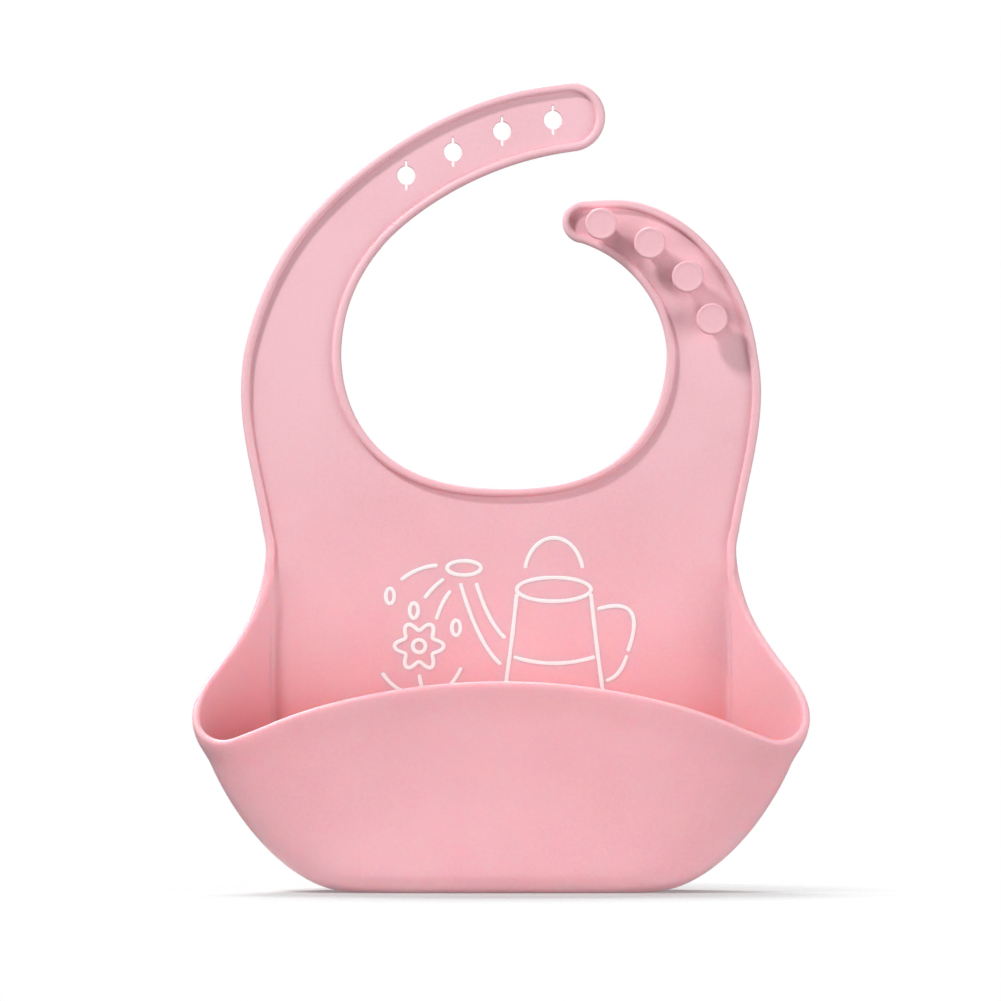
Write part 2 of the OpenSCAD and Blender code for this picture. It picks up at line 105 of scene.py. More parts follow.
def long_h(t):
    """Half width of the long arm."""
    return 13 + 5 * np.maximum(0, 1 - t / 45) ** 1.6


def short_r(t):
    """Distance of the short arm's middle line from the neck's centre."""
    return 78.6 - 0.12 * t - 0.0088 * np.maximum(0, t) ** 1.8


def short_h(t):
    """Half width of the short arm."""
    return 16.7 - 0.1 * t - 0.000014 * t**3


class Arm:
    """One arm of the neck strap: its middle line and half width, by station in degrees from the shoulder."""

    def __init__(self, r, h, start, turn, tilt_over, end):
        self.r, self.h, self.start, self.turn = r, h, start, turn
        self.tilt_over, self.end = tilt_over, end

    def angle(self, t):
        return self.start + self.turn * np.asarray(t, float)

    def normal_angle(self, t):
        """Direction across the arm, which tilts with the curve of its middle line."""
        t = np.asarray(t, float)
        slope = (self.r(t + 0.5) - self.r(t - 0.5)) * 180 / math.pi / self.r(t)
        return self.angle(t) - self.turn * ease(t / self.tilt_over) * np.degrees(np.arctan(slope))

    def centre(self, t):
        a = np.radians(self.angle(t))
        r = self.r(np.asarray(t, float))
        return NECK + np.stack([r * np.cos(a), r * np.sin(a)], -1)

    def normal(self, t):
        a = np.radians(self.normal_angle(t))
        return np.stack([np.cos(a), np.sin(a)], -1)

    def edge(self, t, side, inset=0.0):
        """Point of an edge: 1 for the outer one, which is a little fuller than the inner one, or -1."""
        t = np.asarray(t, float)
        fuller = 0.8 + np.exp(-((t - 32) / 16) ** 2)
        half = self.h(t) + (side > 0) * fuller * ease((self.end - t) / 15)
        return self.centre(t) + side * (half - inset)[..., None] * self.normal(t)


LONG = Arm(long_r, long_h, 180, -1, 20, 106.0)
SHORT = Arm(short_r, short_h, 0, 1, 15, 58.4)
NECK_DROP = 10.4


def neck_r(a):
    """Radius of the neck opening below the arms, from 0 degrees on the right to -180 on the left."""
    s = np.abs(np.sin(np.radians(a)))
    ends = mix(SHORT.r(0.0) - SHORT.h(0.0), LONG.r(0.0) - LONG.h(0.0), -a / 180)
    return ends - NECK_DROP * s**3.2


def side_x(s, z):
    """Half width of the sheet above the pocket, on side s."""
    top = (LONG if s < 0 else SHORT).edge(0.0, 1)[0] * s
    return (
        WAIST_HALF
        + (CHEST_HALF - WAIST_HALF) * ease((z - WAIST_Z) / (TURN_Z - WAIST_Z))
        + (top - CHEST_HALF) * np.maximum(0, (z - TURN_Z) / (NECK[1] - TURN_Z)) ** 2
    )


def sheet_x(z):
    """Half width of the sheet along the pocket."""
    return BASE_HALF + (WAIST_HALF - BASE_HALF) * np.sqrt(1 - np.maximum(0, 1 - z / LOW_Z) ** 2)


# ---------------------------------------------------------------- the pocket's bowl

TURN_R = 7.5


def flare(z):
    """How far the pocket stands out beyond the sheet's sides."""
    return 17 + 0.5 * np.minimum(z, 68)


def depth(z):
    """How far the pocket's front stands before the sheet; it turns under at the foot."""
    low = TURN_R - np.sqrt(np.maximum(0, TURN_R**2 - (TURN_R - z) ** 2))
    return 44 + 10 * z / LIP_MID - np.where(z < TURN_R, low, 0)


def lip_z(e):
    """Height of the lip, from e = 0 at the sheet to 1 in front."""
    x = (WAIST_HALF + 46 * e) * np.maximum(0, 1 - e**4) ** 0.25
    side = LIP_SIDE - 68 * np.maximum(e, 0) ** 0.55
    return mix(side, LIP_MID - 0.0022 * x**2, ease((e - 0.62) / 0.33))


def wall(a, z):
    """Outer face of the pocket wall: a runs from 0 at the sheet on the right, 90 in front, to 180."""
    c, s = np.cos(np.radians(a)), np.sin(np.radians(a))
    eta, xi = np.sqrt(np.maximum(0, s)), np.sign(c) * np.sqrt(np.abs(c))
    return np.stack(np.broadcast_arrays((sheet_x(z) + flare(z) * eta) * xi, -depth(z) * eta, z), -1)


def across(a, z):
    """Direction along the wall's outline."""
    return wall(np.minimum(180, a + 1.5), z) - wall(np.maximum(0, a - 1.5), z)


def out(a, z):
    """Outward normal of the wall."""
    up = wall(a, z + 0.04 + z * 0.01) - wall(a, np.maximum(0, z - z * 0.01))
    n = unit(np.cross(up, across(a, z)))
    return np.where((z <= 0)[..., None], np.array([0.0, 0.0, -1.0]), n)


def middle(a, z):
    """Middle of the wall's thickness; at the sheet it runs on to the middle of the sheet."""
    a, z = np.broadcast_arrays(np.asarray(a, float), np.asarray(z, float))
    q = wall(a, z) - HALF_T * out(a, z)
    t = across(a, z)
    ends = (a <= 0) | (a >= 180)
    slide = q - t * ((q[..., 1] - HALF_T) / np.where(ends, t[..., 1], 1))[..., None]
    return np.where(ends[..., None], slide, q)


def even(points, values, gap):
    """values picked so that the points they stand for are evenly spaced, gap apart."""
    s = np.concatenate([[0], np.cumsum(np.linalg.norm(np.diff(points, axis=0), axis=1))])
    n = max(2, int(round(s[-1] / gap)))
    return np.interp(np.linspace(0, s[-1], n + 1), s, values)


# Columns of the wall, GAP apart along the lip, first for the right half and then mirrored. The lip
# is LIP_DIP lower in the middle.
GAP = 2.0
LIP_DIP = 2.3
e_fine = np.concatenate([np.linspace(0, 1, 600) ** 1.8 * 0.85, [0]])[:-1]
x_fine = np.linspace((1 - 0.85**4) ** 0.25, 0, 600)[1:]
e_fine = np.concatenate([e_fine, (1 - x_fine**4) ** 0.25])
a_fine = np.degrees(np.arcsin(np.clip(e_fine**2, 0, 1)))
half_a = even(middle(a_fine, lip_z(e_fine)), a_fine, GAP)
COLS = np.concatenate([half_a, 180 - half_a[-2::-1]])
COL_E = np.sqrt(np.maximum(0, np.sin(np.radians(COLS))))
COL_TOP = lip_z(COL_E) - LIP_DIP * ease((COL_E - 0.75) / 0.2)
ROWS = np.linspace(0, 1, 64) ** 2

# Crease between the sheet and the pocket: the right half, from the middle of the base up
crease_z = LIP_SIDE * ROWS
crease_side = middle(np.zeros_like(crease_z), crease_z)
BASE_X = crease_side[0, 0]
EXTEND_Z = np.arange(1, 9) * 2.0 + LIP_SIDE    # the ridge goes on a little above the pocket
BASE_STEPS = 24                                # steps of half the base line
EDGE_IN = HALF_T


def side_edge(s, z):
    """Middle line of the sheet's rounded side edge above the pocket."""
    slope = side_x(s, z + 0.5) - side_x(s, z - 0.5)
    inset = EDGE_IN * np.sqrt(1 + slope**2)
    return mix(crease_side[-1, 0], side_x(s, z) - inset, ease((z - LIP_SIDE) / 12))


base_x = np.linspace(0, BASE_X, BASE_STEPS + 1)
ridge = np.concatenate([
    np.stack([base_x[:-1], np.full(BASE_STEPS, crease_side[0, 2])], -1),
    crease_side[:, [0, 2]],
    np.stack([side_edge(1, EXTEND_Z), EXTEND_Z], -1),
])
ridge_z = np.concatenate([np.zeros(BASE_STEPS), crease_z, EXTEND_Z])
ridge_t = unit(np.gradient(ridge, axis=0))
ridge_t[:BASE_STEPS + 1] = (1, 0)
ridge_m = np.stack([ridge_t[:, 1], -ridge_t[:, 0]], -1)
ridge_dir = np.stack([flare(ridge_z), -depth(np.minimum(ridge_z, LIP_SIDE)), 0 * ridge_z], -1)
ridge_dir[:BASE_STEPS] = (0, -1, 0)
ridge_dir = unit(ridge_dir)
ridge_l = np.interp(ridge_z, [0, 25, 60, 82, 112, 121, 137], [4, 3.2, 2.2, 2.4, 3.6, 4.2, 0.3])
ridge_s = np.concatenate([[0], np.cumsum(np.linalg.norm(np.diff(ridge, axis=0), axis=1))])


def ridge_at(values):
    """The values, one for each ridge point, at close steps along the ridge."""
    s = np.arange(0, ridge_s[-1], 0.3)
    return np.stack([np.interp(s, ridge_s, values[:, i]) for i in range(values.shape[1])], -1)


FINE_C, FINE_M, FINE_D = ridge_at(ridge), unit(ridge_at(ridge_m)), unit(ridge_at(ridge_dir))
FINE_L = ridge_at(ridge_l[:, None])[:, 0]


def fillet(c, m, direction, length, d):
    """Point of the rounded crease at signed distance d from its sharp corner c."""
    t = ((d + length) / (2 * length))[..., None]
    length = length[..., None]
    return (1 - t) ** 2 * (c - length * m) + 2 * t * (1 - t) * c + t**2 * (c + length * direction)


def flat3(p):
    """Points of the flat sheet's middle surface at the given X and Z."""
    return np.stack([p[..., 0], np.full(p.shape[:-1], HALF_T), p[..., 1]], -1)


CURL_TOP = 136    # the sheet is flat from here up


def bend_panel(p):
    """The sheet's middle surface, curled forwards along the crease."""
    q = p.copy()
    s = np.where(p[:, 0] < 0, -1.0, 1.0)
    flat = np.stack([np.abs(p[:, 0]), p[:, 2]], -1)
    near = np.concatenate([np.argmin(((part[:, None] - FINE_C[None]) ** 2).sum(-1), 1)
                           for part in np.array_split(flat, 20)])
    c, m, length = FINE_C[near], FINE_M[near], FINE_L[near]
    d = np.minimum(((flat - c) * m).sum(-1), 0)
    c3 = flat3(flat - d[:, None] * m)
    m3 = np.stack([m[:, 0], 0 * d, m[:, 1]], -1)
    hit = (d > -length) & (p[:, 2] < CURL_TOP)
    moved = fillet(c3, m3, FINE_D[near], length, d)
    moved[:, 0] *= s
    q[hit] = moved[hit]
    return q


def bend_bowl(p, c, m, direction, length, d):
    """The bowl's middle surface, curled along the same crease."""
    hit = d < length
    moved = fillet(c, m, direction, length, np.minimum(d, length))
    q = p.copy()
    q[hit] = moved[hit]
    return q


# ---------------------------------------------------------------- mesh helpers


def gaps(q, others):
    """Distance of each point to the nearest of the others."""
    parts = np.array_split(q, max(1, len(q) // 500))
    return np.concatenate([np.sqrt(((p[:, None] - others[None]) ** 2).sum(-1)).min(1) for p in parts])


def triangulate(loops, gap, near, near_gap, near_dist):
    """Triangles inside the first loop and outside the rest, with evenly spread inner points, gap
    apart, or near_gap within near_dist of the points in near."""
    loops = [np.asarray(q, float) for q in loops]
    edge = np.concatenate(loops)
    lo, hi = edge.min(0), edge.max(0)

    def inside(q):
        hit = np.zeros(len(q), int)
        for loop in loops:
            a, b = loop, np.roll(loop, -1, 0)
            for p0, p1 in zip(a, b):
                cross = (p0[1] > q[:, 1]) != (p1[1] > q[:, 1])
                x = p0[0] + (q[:, 1] - p0[1]) * (p1[0] - p0[0]) / (p1[1] - p0[1] + 1e-12)
                hit += cross & (q[:, 0] < x)
        return hit % 2 == 1

    def lattice(g):
        rows = np.arange(lo[1] + g / 2, hi[1], g * 0.866)
        grid = []
        for i, y in enumerate(rows):
            x = np.arange(lo[0] + (i % 2) * g / 2, hi[0], g)
            grid.append(np.stack([x, np.full_like(x, y)], -1))
        q = np.concatenate(grid)
        q = q[inside(q)]
        return q[gaps(q, edge) > g * 0.55]

    inner = lattice(gap)
    if near is not None:
        fine = lattice(near_gap)
        inner = np.concatenate([inner[gaps(inner, near) > near_dist],
                                fine[gaps(fine, near) <= near_dist - gap * 0.4]])
    pts = np.concatenate([edge, inner])
    edges, k = [], 0
    for loop in loops:
        n = len(loop)
        edges += [(k + i, k + (i + 1) % n) for i in range(n)]
        k += n
    v, _, f, _, _, _ = delaunay_2d_cdt([Vector(p) for p in pts], edges, [], 1, 1e-6)
    v = np.array([tuple(p) for p in v])
    f = np.array([tuple(q) for q in f])
    f = f[inside(v[f].mean(1))]
    return v, f


WELD_STEPS = 500    # steps in a millimetre; points within about one of them are welded


class Sheet:
    """A middle surface gathered from welded patches."""

    def __init__(self):
        self.v, self.f, self.at = [], [], {}

    def add(self, pts, faces, flip=False):
        index = []
        for p in pts:
            key = tuple(int(round(c * WELD_STEPS)) for c in p)
            found = None
            for dx in (0, 1, -1):
                for dy in (0, 1, -1):
                    for dz in (0, 1, -1):
                        found = self.at.get((key[0] + dx, key[1] + dy, key[2] + dz), found)
            if found is None:
                found = len(self.v)
                self.v.append(tuple(p))
                self.at[key] = found
            index.append(found)
        for q in faces:
            ring = [index[i] for i in q]
            ring = [a for a, b in zip(ring, ring[1:] + ring[:1]) if a != b]
            if len(set(ring)) > 2:
                self.f.append(ring[::-1] if flip else ring)

    def boundary(self):
        """Directed loops of the edges that only one face uses."""
        seen = {}
        for q in self.f:
            for a, b in zip(q, q[1:] + q[:1]):
                seen[(a, b)] = True
        nxt = {a: b for a, b in seen if (b, a) not in seen}
        loops = []
        while nxt:
            a = next(iter(nxt))
            loop = [a]
            b = nxt.pop(a)
            while b != loop[0]:
                loop.append(b)
                b = nxt.pop(b)
            loops.append(loop)
        return loops

    def normals(self, pts):
        n = np.zeros_like(pts)
        for size in (3, 4):
            f = np.array([q for q in self.f if len(q) == size], int)
            if len(f):
                d = np.cross(pts[f[:, 2]] - pts[f[:, 0]], pts[f[:, -1]] - pts[f[:, 1]])
                for k in range(size):
                    np.add.at(n, f[:, k], d)
        return unit(n)


ARC = 8             # steps round a rounded edge
HOLE_BULGE = 0.3    # how far the edge of a hole bulges into it
CUT_REACH = 24      # a cut is no longer than this on either side of its middle


def thicken(sheet, pts, half, cuts):
    """Closed slab round a middle surface, with rounded edges. Along a cut (a point and a direction
    out of the piece, in X and Z) the end is flat. Returns the slab and its edge's frames."""
    n = sheet.normals(pts)
    verts = [pts + half[:, None] * n, pts - half[:, None] * n]
    count = len(pts)
    faces = list(sheet.f) + [[i + count for i in q[::-1]] for q in sheet.f]
    total, frames = 2 * count, []
    loops = sorted(sheet.boundary(), key=len, reverse=True)
    for k, loop in enumerate(loops):
        ring = np.array(loop)
        p = pts[ring]
        on_cut = np.zeros(len(ring), int)
        for i, (at, away) in enumerate(cuts):
            off = (p[:, [0, 2]] - np.array(at)) @ np.array(away)
            near = np.linalg.norm(p[:, [0, 2]] - np.array(at), axis=1) < CUT_REACH
            on_cut[(np.abs(off) < 0.02) & near] = i + 1
        t = np.zeros_like(p)
        ahead, behind = np.roll(p, -1, 0) - p, p - np.roll(p, 1, 0)
        for i in range(len(ring)):
            a, b = on_cut[i - 1] and on_cut[i], on_cut[i] and on_cut[(i + 1) % len(ring)]
            both = unit(ahead[i]) + unit(behind[i])
            t[i] = ahead[i] if a and not b else behind[i] if b and not a else both
        w = np.cross(unit(t), n[ring])
        for i in np.nonzero(on_cut)[0]:
            away = np.array(cuts[on_cut[i] - 1][1])
            w[i] -= (w[i, [0, 2]] @ away) * np.array([away[0], 0, away[1]])
        w = unit(w)
        h = half[ring]
        bulge = h.copy() if k == 0 else np.full(len(ring), HOLE_BULGE)
        for i in range(len(ring)):
            if on_cut[i] and on_cut[i - 1] and on_cut[(i + 1) % len(ring)]:
                bulge[i] = 0
        arcs = []
        for j in range(1, ARC):
            phi = math.pi * j / ARC
            arcs.append(p + (h * math.cos(phi))[:, None] * n[ring] + (bulge * math.sin(phi))[:, None] * w)
        verts += arcs
        between = [np.arange(len(ring)) + total + j * len(ring) for j in range(ARC - 1)]
        rows = [ring] + between + [ring + count]
        total += len(ring) * (ARC - 1)
        for j in range(ARC):
            r0, r1 = rows[j], rows[j + 1]
            for i in range(len(ring)):
                i2 = (i + 1) % len(ring)
                faces.append([r0[i2], r0[i], r1[i], r1[i2]])
        frames.append((p, n[ring], w, h, on_cut))
    return np.concatenate(verts), faces, frames


# Outline of the rim bead: across, from its outer edge, and up, both as parts of its size
BEAD = np.array([
    (0.06, -0.10), (0.0, 0.05), (0.0, 0.52), (0.03, 0.68), (0.11, 0.81), (0.24, 0.92), (0.42, 0.985),
    (0.56, 1.0), (0.70, 0.985), (0.84, 0.925), (0.94, 0.82), (0.995, 0.68), (1.02, 0.5), (1.04, 0.25),
    (0.97, -0.10),
])


SUNK_H, SUNK_SHIFT = -0.45, 0.9    # height and place of a bead that has sunk in


def bead(p, n, w, h, fade=None):
    """Raised rim along an edge, on the front face; where fade is 1 it has sunk into the sheet."""
    fade = np.zeros(len(p)) if fade is None else fade
    rise = mix(BEAD_H, SUNK_H, fade)
    shift = SUNK_SHIFT * fade
    width = BEAD_W - shift
    rings = []
    for i in range(len(p)):
        q = shift[i] - h[i] + BEAD[:, 0] * width[i]
        r = (h[i] + rise[i]) * BEAD[:, 1]
        rings.append(p[i] - q[:, None] * w[i] + r[:, None] * n[i])
    m = len(BEAD)
    verts = np.concatenate(rings)
    faces = []
    for i in range(len(p) - 1):
        for j in range(m):
            a, b = i * m + j, i * m + (j + 1) % m
            faces.append([a, b, b + m, a + m])
    faces.append(list(range(m))[::-1])
    faces.append([len(verts) - m + j for j in range(m)])
    return verts, faces


def to_mesh(name, verts, faces):
    """New object from points in millimetres, measured from the front face of the sheet."""
    mesh = bpy.data.meshes.new(name)
    v = (np.asarray(verts, float) + np.array([0, FACE_Y, 0])) * MM
    mesh.from_pydata(v.tolist(), [], [list(map(int, q)) for q in faces])
    mesh.validate()
    mesh.update()
    obj = bpy.data.objects.new(name, mesh)
    bpy.context.scene.collection.objects.link(obj)
    return obj


def outward(obj):
    """Turns the faces outwards if the mesh is inside out."""
    bm = bmesh.new()
    bm.from_mesh(obj.data)
    if bm.calc_volume(signed=True) < 0:
        bmesh.ops.reverse_faces(bm, faces=bm.faces)
        bm.to_mesh(obj.data)
    bm.free()


def fuse(obj, parts):
    """Union of obj with the parts, which are then removed."""
    outward(obj)
    for part in parts:
        outward(part)
        m = obj.modifiers.new("fuse", "BOOLEAN")
        m.operation, m.solver, m.object = "UNION", "MANIFOLD", part
    dg = bpy.context.evaluated_depsgraph_get()
    mesh = bpy.data.meshes.new_from_object(obj.evaluated_get(dg))
    obj.modifiers.clear()
    obj.data = mesh
    mesh.materials.clear()
    mesh.polygons.foreach_set("material_index", np.zeros(len(mesh.polygons), np.int32))
    for part in parts:
        bpy.data.objects.remove(part)
    return obj


def smooth(obj, angle=32):
    obj.data.shade_smooth()
    obj.data.set_sharp_from_angle(angle=math.radians(angle))
    return obj


# ---------------------------------------------------------------- materials


def nodes_of(material):
    """The material's node tree, emptied, with a new Principled shader joined to the output."""
    material.use_nodes = True
    tree = material.node_tree
    tree.nodes.clear()
    output = tree.nodes.new("ShaderNodeOutputMaterial")
    shader = tree.nodes.new("ShaderNodeBsdfPrincipled")
    tree.links.new(shader.outputs[0], output.inputs["Surface"])
    return tree, shader


def srgb(*levels):
    """Linear colour of three sRGB levels from 0 to 255, none of them very dark."""
    return tuple(((level / 255 + 0.055) / 1.055) ** 2.4 for level in levels)


def noise(tree, coords, scale, detail, rough):
    n = tree.nodes.new("ShaderNodeTexNoise")
    n.inputs["Scale"].default_value = scale
    n.inputs["Detail"].default_value = detail
    n.inputs["Roughness"].default_value = rough
    tree.links.new(coords, n.inputs["Vector"])
    return n.outputs["Fac"]


def ranged(tree, fac, lo, hi, out_lo, out_hi):
    """fac, moved from the range lo to hi into out_lo to out_hi."""
    m = tree.nodes.new("ShaderNodeMapRange")
    for name, value in zip(("From Min", "From Max", "To Min", "To Max"), (lo, hi, out_lo, out_hi)):
        m.inputs[name].default_value = value
    tree.links.new(fac, m.inputs["Value"])
    return m.outputs["Result"]


def blended(tree, fac, a, b):
    """Mix of two colours, each a colour or a socket."""
    m = tree.nodes.new("ShaderNodeMix")
    m.data_type = "RGBA"
    for socket, value in ((m.inputs[0], fac), (m.inputs[6], a), (m.inputs[7], b)):
        if isinstance(value, tuple):
            socket.default_value = (*value, 1)
        else:
            tree.links.new(value, socket)
    return m.outputs[2]


def silicone(name, pale, deep, tint, glow_and_painted_shade=True):
    """Satin silicone: cloudy tone, a fine moulded grain and a few specks of dust. With the last switch
    on, light soaks through the pocket's walls, less and less through the sheet above it, and painted
    shade deepens the base colour to red inside the pocket, where ambient occlusion finds the light shut in."""
    mat = bpy.data.materials.new(name)
    tree, shader = nodes_of(mat)
    coords = tree.nodes.new("ShaderNodeTexCoord").outputs["Object"]
    cloud = ranged(tree, noise(tree, coords, 22, 3, 0.55), 0.35, 0.65, 0, 1)
    colour = blended(tree, cloud, pale, deep)
    grain = ranged(tree, noise(tree, coords, 900, 3, 0.6), 0.3, 0.7, 0, 0.5)
    colour = blended(tree, grain, colour, tint)
    cells = tree.nodes.new("ShaderNodeTexVoronoi")
    cells.inputs["Scale"].default_value = 30
    tree.links.new(coords, cells.inputs["Vector"])
    speck = ranged(tree, cells.outputs["Distance"], 0.006, 0.016, 0.3, 0)
    colour = blended(tree, speck, colour, srgb(150, 90, 96))
    if glow_and_painted_shade:
        place = tree.nodes.new("ShaderNodeSeparateXYZ")
        tree.links.new(coords, place.inputs[0])
        low = ranged(tree, place.outputs["Z"], 0.085, 0.2, 1, 0)
        tree.links.new(low, shader.inputs["Subsurface Weight"])
        # Painted shade: where ambient occlusion finds the pocket shutting the light in, the base colour is
        # painted a deeper red
        shade_occlusion = tree.nodes.new("ShaderNodeAmbientOcclusion")
        shade_occlusion.samples, shade_occlusion.only_local = 8, True
        shade_occlusion.inputs["Distance"].default_value = 0.08
        painted_shade = tree.nodes.new("ShaderNodeMath")
        painted_shade.operation = "MULTIPLY"
        tree.links.new(ranged(tree, shade_occlusion.outputs["AO"], 0.18, 0.57, 1, 0), painted_shade.inputs[0])
        tree.links.new(low, painted_shade.inputs[1])
        colour = blended(tree, painted_shade.outputs[0], colour, srgb(240, 128, 122))
    tree.links.new(colour, shader.inputs["Base Color"])
    rough = ranged(tree, noise(tree, coords, 320, 3, 0.6), 0.3, 0.7, 0.4, 0.5)
    tree.links.new(rough, shader.inputs["Roughness"])
    bump = tree.nodes.new("ShaderNodeBump")
    bump.inputs["Strength"].default_value = 0.12
    bump.inputs["Distance"].default_value = 0.00012
    tree.links.new(noise(tree, coords, 1500, 3, 0.65), bump.inputs["Height"])
    tree.links.new(bump.outputs["Normal"], shader.inputs["Normal"])
    shader.inputs["Subsurface Radius"].default_value = (1.0, 0.16, 0.09)
    shader.inputs["Subsurface Scale"].default_value = 0.003
    shader.inputs["IOR"].default_value = 1.42
    shader.inputs["Specular IOR Level"].default_value = 0.55
    shader.inputs["Sheen Weight"].default_value = 0.12
    shader.inputs["Sheen Roughness"].default_value = 0.45
    shader.inputs["Sheen Tint"].default_value = (1, 0.86, 0.88, 1)
    return mat


def printed(name):
    """Opaque white screen ink, a little uneven in its cover."""
    mat = bpy.data.materials.new(name)
    tree, shader = nodes_of(mat)
    coords = tree.nodes.new("ShaderNodeTexCoord").outputs["Object"]
    cover = ranged(tree, noise(tree, coords, 1300, 3, 0.6), 0.35, 0.7, 0, 1)
    colour = blended(tree, cover, srgb(254, 250, 250), srgb(249, 238, 240))
    tree.links.new(colour, shader.inputs["Base Color"])
    rough = ranged(tree, noise(tree, coords, 700, 2, 0.5), 0.3, 0.7, 0.5, 0.66)
    tree.links.new(rough, shader.inputs["Roughness"])
    bump = tree.nodes.new("ShaderNodeBump")
    bump.inputs["Strength"].default_value = 0.15
    bump.inputs["Distance"].default_value = 0.00008
    tree.links.new(noise(tree, coords, 1800, 3, 0.6), bump.inputs["Height"])
    tree.links.new(bump.outputs["Normal"], shader.inputs["Normal"])
    return mat


SHEET_MAT = silicone("silicone", srgb(242, 191, 200), srgb(237, 183, 192), srgb(246, 201, 208))
STRAP_MAT = silicone("silicone_strap", srgb(242, 191, 200), srgb(237, 183, 192), srgb(246, 201, 208), False)
STUD_MAT = silicone("silicone_studs", srgb(243, 188, 197), srgb(239, 182, 191), srgb(246, 199, 207), False)
INK_MAT = printed("white_ink")

# ---------------------------------------------------------------- body: sheet and pocket in one

LONG_CUT, SHORT_CUT = 10.0, 3.0    # stations where the straps begin
CUT_N = 14                         # steps across a cut


def cut_line(arm, t, inset):
    """Points straight across an arm, from its outer edge to its inner one."""
    outer, inner = arm.edge(t, 1, inset), arm.edge(t, -1, inset)
    return [mix(outer, inner, u) for u in np.linspace(0, 1, CUT_N + 1)]


def arm_stations(t0, t1):
    """Stations along an arm, about 1.5 mm apart at its outer edge."""
    n = max(2, int(math.ceil(math.radians(abs(t1 - t0)) * 88 / 1.5)))
    return np.linspace(t0, t1, n + 1)


def along(arm, t):
    """Direction along a strap at station t, away from the shoulder, in X and Z."""
    n = arm.normal(t)
    return np.array([-n[1], n[0]]) * arm.turn


side_z = np.linspace(NECK[1], LIP_SIDE, 50)
left_side = np.stack([-side_edge(-1, side_z), side_z], -1)
right_side = np.stack([side_edge(1, side_z), side_z], -1)
crease_xz = crease_side[:, [0, 2]]
base_n = 2 * BASE_STEPS + 1
base_line = np.stack([np.linspace(-BASE_X, BASE_X, base_n), np.full(base_n, crease_side[0, 2])], -1)
neck_a = np.linspace(0, -180, 130)
neck_line = NECK + (neck_r(neck_a) + EDGE_IN)[:, None] * np.stack(
    [np.cos(np.radians(neck_a)), np.sin(np.radians(neck_a))], -1)
outline = np.concatenate([
    LONG.edge(arm_stations(LONG_CUT, 0), 1, EDGE_IN)[:-1],
    left_side[:-1],
    (crease_xz * (-1, 1))[::-1][:-1],
    base_line[:-1],
    crease_xz[:-1],
    right_side[::-1][:-1],
    SHORT.edge(arm_stations(0, SHORT_CUT), 1, EDGE_IN)[:-1],
    cut_line(SHORT, SHORT_CUT, EDGE_IN)[:-1],
    SHORT.edge(arm_stations(SHORT_CUT, 0), -1, EDGE_IN)[:-1],
    neck_line[:-1],
    LONG.edge(arm_stations(0, LONG_CUT), -1, EDGE_IN)[:-1],
    cut_line(LONG, LONG_CUT, EDGE_IN)[::-1][:-1],
])
ridge_both = np.concatenate([ridge, ridge * (-1, 1)])
panel_v, panel_f = triangulate([outline], 4.0, ridge_both, 1.7, 10)
panel_p = bend_panel(flat3(panel_v))

# The bowl, column by column; its last rows run out to the middle line of the rounded lip
LIP_HALF, LIP_RISE = 1.55, 2.85    # half thickness of the lip, and its top above the grid's last row
grid_z = COL_TOP[:, None] * ROWS[None]
grid = middle(COLS[:, None] + 0 * grid_z, grid_z)
corner_p = middle(np.zeros_like(grid_z), grid_z)
mirror = np.where(COLS > 90, -1.0, 1.0)[:, None]
c3 = corner_p * np.stack([mirror + 0 * grid_z, np.ones_like(grid_z), np.ones_like(grid_z)], -1)
side_m, side_l = ridge_m[BASE_STEPS:], ridge_l[BASE_STEPS:]
m2 = unit(np.stack([np.interp(grid_z, ridge_z[BASE_STEPS:], side_m[:, i]) for i in (0, 1)], -1))
m3 = np.stack([m2[..., 0] * mirror, 0 * grid_z, m2[..., 1]], -1)
d3 = unit(np.stack([flare(grid_z) * mirror, -depth(grid_z), 0 * grid_z], -1))
length = np.interp(grid_z, ridge_z[BASE_STEPS:], side_l)
dist = np.linalg.norm(grid - c3, axis=-1)
grid = bend_bowl(grid, c3, m3, d3, length, dist)

# The ears, where the lip turns from the sides to the front, stand out a little further
EAR_OUT, EAR_Z = 4.4, 59
below_lip = COL_TOP[:, None] - grid_z
ear = EAR_OUT * np.exp(-((grid[..., 2] - EAR_Z) / 6) ** 2) * np.exp(-(below_lip / 11) ** 2)
ear *= ease((np.abs(grid[..., 0]) - 88) / 22)
grid[..., 0] += np.sign(grid[..., 0]) * ear

lip_line = grid[:, -1]
lip_t = unit(np.gradient(lip_line, axis=0))
lip_n = unit(np.cross(grid[:, -1] - grid[:, -2], lip_t))
lip_u = unit(np.cross(lip_t, lip_n))
lip_u = np.where(((grid[:, -1] - grid[:, -2]) * lip_u).sum(-1)[:, None] < 0, -lip_u, lip_u)
lip_s = np.concatenate([[0], np.cumsum(np.linalg.norm(np.diff(lip_line, axis=0), axis=1))])
lip_s = np.minimum(lip_s, lip_s[-1] - lip_s)
reach = (LIP_RISE - LIP_HALF) * ease(lip_s / 14)[:, None]
grid = np.concatenate([grid, (lip_line + reach * lip_u)[:, None]], 1)
n_col, n_row = grid.shape[:2]
grid_f = [[i * n_row + j, i * n_row + j + 1, (i + 1) * n_row + j + 1, (i + 1) * n_row + j]
          for i in range(n_col - 1) for j in range(n_row - 1)]

